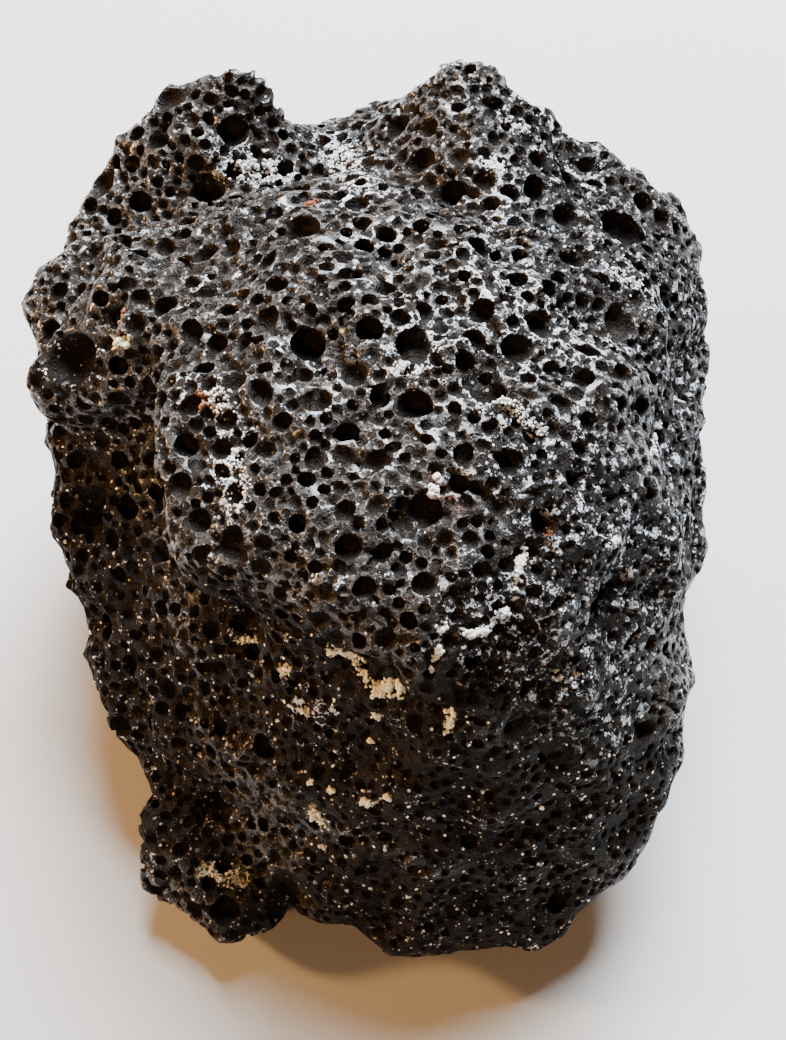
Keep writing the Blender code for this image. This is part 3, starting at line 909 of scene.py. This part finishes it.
class ROCK_OT_crusts(bpy.types.Operator):
    """Grows the crusts of white, cream and rust coloured grains on the boulder"""

    bl_idname = "rock.crusts"
    bl_label = "Mineral crusts"

    def execute(self, context):
        tones = context.scene.rock_finish
        tree = tree_of(bpy.data.objects["basalt_boulder"])
        chance = np.random.default_rng(GRAIN_SEED)
        shapes = grain_shapes(GRAIN_SHAPES)
        vertices = []
        faces = []
        kinds = []
        total = 0
        for kind, path, width, amount, size in CRUSTS:
            path = np.array(path, dtype=float)
            for _ in range(round(amount * GRAINS_FOR_ONE)):
                along = chance.random() * (len(path) - 1)
                step = min(int(along), max(len(path) - 2, 0))
                onward = path[min(step + 1, len(path) - 1)]
                stray = chance.normal(0, width / GRAIN_SPREAD, 3)
                middle = path[step] + (along - step) * (onward - path[step]) + stray
                place, normal = tree.find_nearest(Vector(middle) * MM)[:2]
                radius = size * GRAIN_SIZE * MM * chance.uniform(*GRAIN_RANGE)
                points, corners = shapes[chance.integers(len(shapes))]
                turn = np.array(Euler(chance.uniform(0, FULL_TURN, 3)).to_matrix())
                squash = chance.uniform(*GRAIN_SQUASH, 3)
                seat = np.array(place + normal * radius * GRAIN_SEAT)
                vertices.append((points * squash) @ turn.T * radius + seat)
                faces.append(corners + total)
                kinds.append(np.full(len(corners), GRAIN_KINDS.index(kind), dtype=np.int32))
                total += len(points)
        data = mesh_from("mineral_crusts", np.concatenate(vertices), np.concatenate(faces))
        data.polygons.foreach_set("material_index", np.concatenate(kinds))
        crusts = add_object("mineral_crusts", data)
        only(crusts)
        bpy.ops.object.shade_smooth()
        data.materials.append(grain_finish("white_grains", WHITE_GRAIN, tones.film))
        data.materials.append(grain_finish("cream_grains", tones.cream, CREAM_STAIN))
        data.materials.append(grain_finish("rust_grains", tones.rust, RUST_STAIN))
        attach(crusts, "root")
        return {"FINISHED"}


def aimed(obj, target):
    """Turns a light or a camera to look at the target."""
    obj.rotation_mode = "QUATERNION"
    obj.rotation_quaternion = (target - obj.location).to_track_quat("-Z", "Y")


def soft_light(name, place, size, power, colour, target):
    """A round lamp of that width, aimed at the target."""
    light = bpy.data.lights.new(name, "AREA")
    light.shape = "DISK"
    light.size = size
    light.energy = power
    light.color = colour
    obj = add_object(name, light)
    obj.location = place
    aimed(obj, target)


def sky(strength):
    """A pale studio wall, which lights the rock far less than it shows."""
    world = bpy.data.worlds.new("soft_sky")
    world.use_nodes = True
    nodes = world.node_tree.nodes
    lit = nodes["Background"]
    lit.inputs["Color"].default_value = SKY_COLOUR
    lit.inputs["Strength"].default_value = strength
    wall = nodes.new("ShaderNodeBackground")
    wall.inputs["Color"].default_value = WALL_COLOUR
    path = nodes.new("ShaderNodeLightPath")
    mix = nodes.new("ShaderNodeMixShader")
    links = world.node_tree.links
    links.new(path.outputs["Is Camera Ray"], mix.inputs["Fac"])
    links.new(lit.outputs["Background"], mix.inputs[1])
    links.new(wall.outputs["Background"], mix.inputs[2])
    links.new(mix.outputs["Shader"], nodes["World Output"].inputs["Surface"])
    return world


class ROCK_OT_stage(bpy.types.Operator):
    """Sets the floor, the lights and the camera"""

    bl_idname = "rock.stage"
    bl_label = "Stage"

    def execute(self, context):
        scene = context.scene
        setup = scene.rock_stage
        target = Vector(CAMERA_TARGET) * MM
        bpy.ops.object.select_all(action="DESELECT")
        bpy.ops.mesh.primitive_plane_add(size=FLOOR_SIZE, location=(0, 0, 0))
        floor = context.active_object
        floor.name = "floor"
        floor.data.materials.append(paper(setup.floor))
        soft_light("window_light", *WINDOW_LIGHT, setup.key_power, COOL, target)
        soft_light("warm_light", *FRONT_LIGHT, setup.fill_power, WARM, target)
        soft_light("side_light", *SIDE_LIGHT, setup.side_power, WARM, target)
        scene.world = sky(setup.sky)
        camera = bpy.data.cameras.new("camera")
        camera.lens = CAMERA_LENS
        camera.clip_start = CAMERA_NEAR
        holder = add_object("camera", camera)
        back = Vector((0, -math.cos(CAMERA_ELEVATION), math.sin(CAMERA_ELEVATION)))
        holder.location = target + back * CAMERA_DISTANCE
        aimed(holder, target)
        scene.camera = holder
        return {"FINISHED"}


class ROCK_PT_panel(bpy.types.Panel):
    """Lists the pieces of the rock and their settings"""

    bl_idname = "ROCK_PT_panel"
    bl_label = "Lava Rock"
    bl_space_type = "VIEW_3D"
    bl_region_type = "UI"
    bl_category = "Rock"

    def draw(self, context):
        for operator, group in (("rock.boulder", "rock_shape"), ("rock.crusts", "rock_finish"),
                                ("rock.stage", "rock_stage")):
            box = self.layout.box()
            box.operator(operator)
            settings = getattr(context.scene, group)
            for name in settings.__annotations__:
                box.prop(settings, name)


CLASSES = (RockShape, RockFinish, StageSetup, ROCK_OT_boulder, ROCK_OT_crusts, ROCK_OT_stage, ROCK_PT_panel)


def register():
    for cls in CLASSES:
        bpy.utils.register_class(cls)
    bpy.types.Scene.rock_shape = PointerProperty(type=RockShape)
    bpy.types.Scene.rock_finish = PointerProperty(type=RockFinish)
    bpy.types.Scene.rock_stage = PointerProperty(type=StageSetup)


def unregister():
    del bpy.types.Scene.rock_stage
    del bpy.types.Scene.rock_finish
    del bpy.types.Scene.rock_shape
    for cls in reversed(CLASSES):
        bpy.utils.unregister_class(cls)


def main():
    register()
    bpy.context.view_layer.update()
    bpy.ops.rock.boulder()
    bpy.ops.rock.crusts()
    bpy.ops.rock.stage()


if __name__ == "__main__":
    main()
